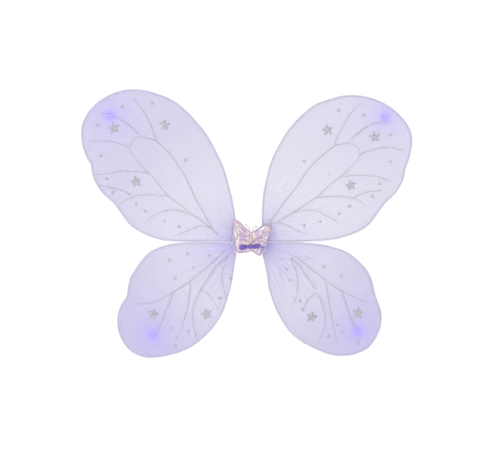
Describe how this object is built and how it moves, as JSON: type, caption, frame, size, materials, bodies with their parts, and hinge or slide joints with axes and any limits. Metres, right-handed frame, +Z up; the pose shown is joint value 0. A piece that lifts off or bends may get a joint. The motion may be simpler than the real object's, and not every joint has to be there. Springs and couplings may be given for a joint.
{
  "type": "fairy wings",
  "caption": "Light-up costume wings: wire loops covered in sheer glittered mesh, folding on a small hub with a padded butterfly, a satin bow and elastic shoulder straps.",
  "frame": {"origin": "on the flat back of the battery housing, where it rests against the wearer's back, midway between the fold lines and level with the seam between upper and lower wings", "axes": "+X to the wearer's right across the spread wings, +Y towards the wearer, +Z up; the decorated face looks along -Y"},
  "size_m": [0.4968, 0.159, 0.4036],
  "materials": {
    "frame_wire": "thin silvery wire, satin",
    "crimp_metal": "satin",
    "sheer_mesh": "sheer lilac nylon mesh with silver glitter",
    "clear_lead": "clear insulation",
    "violet_light": "glowing blue-violet",
    "hub_plastic": "moulded, fine texture",
    "screw_steel": "plated",
    "circuit_board": "solder mask",
    "black_plastic": "moulded",
    "cell_steel": "bright",
    "contact_metal": "spring strip",
    "violet_felt": "felt",
    "pearl_film": "pearly film fabric over wadding",
    "violet_satin": "satin ribbon",
    "white_elastic": "woven elastic"
  },
  "bodies": {
    "root": {"hub_front_plate": "hub_plastic", "hub_back_plate": "hub_plastic", "rear_housing": "hub_plastic", "hub_screw_upper_left": "screw_steel", "hub_screw_upper_right": "screw_steel", "hub_screw_lower_left": "screw_steel", "hub_screw_lower_right": "screw_steel", "root_led_left": "violet_light", "root_led_right": "violet_light", "hub_lead_left": "clear_lead", "hub_lead_right": "clear_lead", "circuit_board": "circuit_board", "switch_body": "black_plastic", "button_cell_left": "cell_steel", "button_cell_middle": "cell_steel", "button_cell_right": "cell_steel", "contact_front_left": "contact_metal", "contact_front_link": "contact_metal", "butterfly_backing": "violet_felt", "butterfly_pad": "pearl_film", "butterfly_body": "pearl_film", "antenna_left": "frame_wire", "antenna_right": "frame_wire", "bow_knot": "violet_satin", "bow_loop_left": "violet_satin", "bow_loop_right": "violet_satin", "bow_tail_right": "violet_satin", "strap_left": "white_elastic", "strap_right": "white_elastic"},
    "upper_left_wing": {"frame_wire_upper_left": "frame_wire", "wire_ferrule_upper_left": "crimp_metal", "mesh_front_upper_left": "sheer_mesh", "mesh_back_upper_left": "sheer_mesh", "led_lead_upper_left": "clear_lead", "led_upper_left": "violet_light"},
    "upper_right_wing": {"frame_wire_upper_right": "frame_wire", "wire_ferrule_upper_right": "crimp_metal", "mesh_front_upper_right": "sheer_mesh", "mesh_back_upper_right": "sheer_mesh", "led_lead_upper_right": "clear_lead", "led_upper_right": "violet_light"},
    "lower_left_wing": {"frame_wire_lower_left": "frame_wire", "wire_ferrule_lower_left": "crimp_metal", "mesh_front_lower_left": "sheer_mesh", "mesh_back_lower_left": "sheer_mesh", "led_lead_lower_left": "clear_lead", "led_lower_left": "violet_light"},
    "lower_right_wing": {"frame_wire_lower_right": "frame_wire", "wire_ferrule_lower_right": "crimp_metal", "mesh_front_lower_right": "sheer_mesh", "mesh_back_lower_right": "sheer_mesh", "led_lead_lower_right": "clear_lead", "led_lower_right": "violet_light"},
    "power_switch": {"switch_knob": "black_plastic"},
    "battery_cover": {"battery_door": "hub_plastic", "door_screw": "screw_steel", "contact_rear_link": "contact_metal", "contact_rear_right": "contact_metal"}
  },
  "joints": [
    {"name": "upper_left_wing_fold", "type": "hinge", "parent": "root", "child": "upper_left_wing", "pos_m": [-0.0205, -0.012, 0.0125], "axis": [0, 0, -1], "range_deg": [-22, 60]},
    {"name": "upper_right_wing_fold", "type": "hinge", "parent": "root", "child": "upper_right_wing", "pos_m": [0.0205, -0.012, 0.0125], "axis": [0, 0, 1], "range_deg": [-22, 60]},
    {"name": "lower_left_wing_fold", "type": "hinge", "parent": "root", "child": "lower_left_wing", "pos_m": [-0.0205, -0.012, -0.00925], "axis": [0, 0, -1], "range_deg": [-22, 60]},
    {"name": "lower_right_wing_fold", "type": "hinge", "parent": "root", "child": "lower_right_wing", "pos_m": [0.0205, -0.012, -0.00925], "axis": [0, 0, 1], "range_deg": [-22, 60]},
    {"name": "power_switch_slide", "type": "slide", "parent": "root", "child": "power_switch", "axis": [1, 0, 0], "range_m": [0, 0.0025]},
    {"name": "battery_cover_lift", "type": "slide", "parent": "root", "child": "battery_cover", "axis": [0, 1, 0], "range_m": [0, 0.01]}
  ]
}
